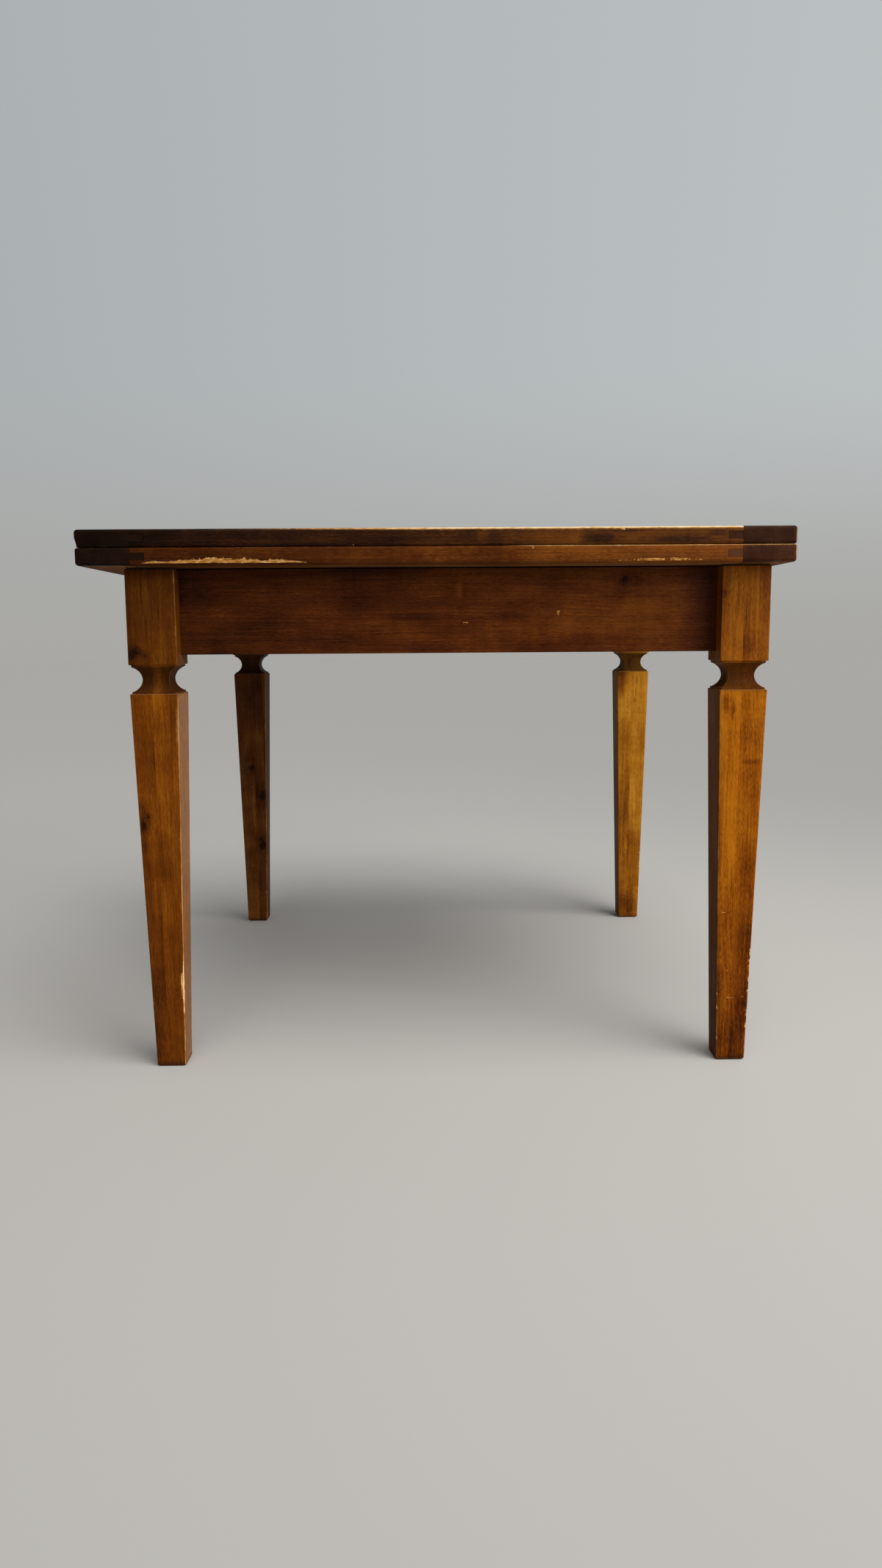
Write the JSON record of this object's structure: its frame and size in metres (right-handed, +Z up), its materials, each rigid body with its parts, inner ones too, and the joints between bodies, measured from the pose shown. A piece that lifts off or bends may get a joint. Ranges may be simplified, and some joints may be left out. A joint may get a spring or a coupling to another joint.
{
  "type": "extending table",
  "caption": "Square wooden dining table on tapered legs, with a double top that slides sideways and unfolds like a book to twice its width.",
  "frame": {"origin": "on the floor, under the middle of the closed top", "axes": "+Z up; +X across the table towards the hinge edge of the two leaves; +Y from the front to the back"},
  "size_m": [1, 1, 0.793],
  "materials": {
    "walnut_stain": "walnut stain under satin varnish, worn bare along the arrises",
    "plain_beech": "planed, unfinished",
    "brass": "brushed",
    "zinc_steel": "zinc plated",
    "brown_felt": "pressed felt"
  },
  "bodies": {
    "frame": {"leg_front_left": "walnut_stain", "leg_front_right": "walnut_stain", "leg_rear_left": "walnut_stain", "leg_rear_right": "walnut_stain", "apron_front": "walnut_stain", "apron_rear": "walnut_stain", "apron_left": "walnut_stain", "apron_right": "walnut_stain", "corner_block_front_left": "plain_beech", "corner_block_front_right": "plain_beech", "corner_block_rear_left": "plain_beech", "corner_block_rear_right": "plain_beech", "corner_bolt_front_left": "zinc_steel", "corner_bolt_front_right": "zinc_steel", "corner_bolt_rear_left": "zinc_steel", "corner_bolt_rear_right": "zinc_steel", "cross_rail": "plain_beech", "guide_rail_front": "plain_beech", "guide_rail_rear": "plain_beech", "leg_felt_front_left": "brown_felt", "leg_felt_front_right": "brown_felt", "leg_felt_rear_left": "brown_felt", "leg_felt_rear_right": "brown_felt"},
    "lower_leaf": {"lower_panel": "walnut_stain", "lower_end_left": "walnut_stain", "lower_end_right": "walnut_stain", "runner_front": "plain_beech", "runner_rear": "plain_beech", "hinge_1_lower_half": "brass", "hinge_2_lower_half": "brass", "hinge_3_lower_half": "brass", "hinge_1_lower_pin": "brass", "hinge_2_lower_pin": "brass", "hinge_3_lower_pin": "brass", "hinge_1_lower_screw_a": "brass", "hinge_1_lower_screw_b": "brass", "hinge_2_lower_screw_a": "brass", "hinge_2_lower_screw_b": "brass", "hinge_3_lower_screw_a": "brass", "hinge_3_lower_screw_b": "brass"},
    "hinge_links": {"hinge_1_link": "brass", "hinge_2_link": "brass", "hinge_3_link": "brass"},
    "upper_leaf": {"upper_panel": "walnut_stain", "upper_end_left": "walnut_stain", "upper_end_right": "walnut_stain", "hinge_1_upper_half": "brass", "hinge_2_upper_half": "brass", "hinge_3_upper_half": "brass", "hinge_1_upper_pin": "brass", "hinge_2_upper_pin": "brass", "hinge_3_upper_pin": "brass", "hinge_1_upper_screw_a": "brass", "hinge_1_upper_screw_b": "brass", "hinge_2_upper_screw_a": "brass", "hinge_2_upper_screw_b": "brass", "hinge_3_upper_screw_a": "brass", "hinge_3_upper_screw_b": "brass"}
  },
  "joints": [
    {"name": "top_slide", "type": "slide", "parent": "frame", "child": "lower_leaf", "axis": [-1, 0, 0], "range_m": [-0.017, 0.483]},
    {"name": "leaf_fold", "type": "hinge", "parent": "lower_leaf", "child": "upper_leaf", "pos_m": [0.50025, 0, 0.76825], "axis": [0, 1, 0], "range_deg": [0, 180]},
    {"name": "link_swing", "type": "hinge", "parent": "lower_leaf", "child": "hinge_links", "pos_m": [0.4965, 0, 0.7645], "axis": [0, 1, 0], "range_deg": [0, 90]}
  ],
  "couplings": [
    {"joint": "link_swing", "follows": "leaf_fold", "ratio": 0.5}
  ]
}
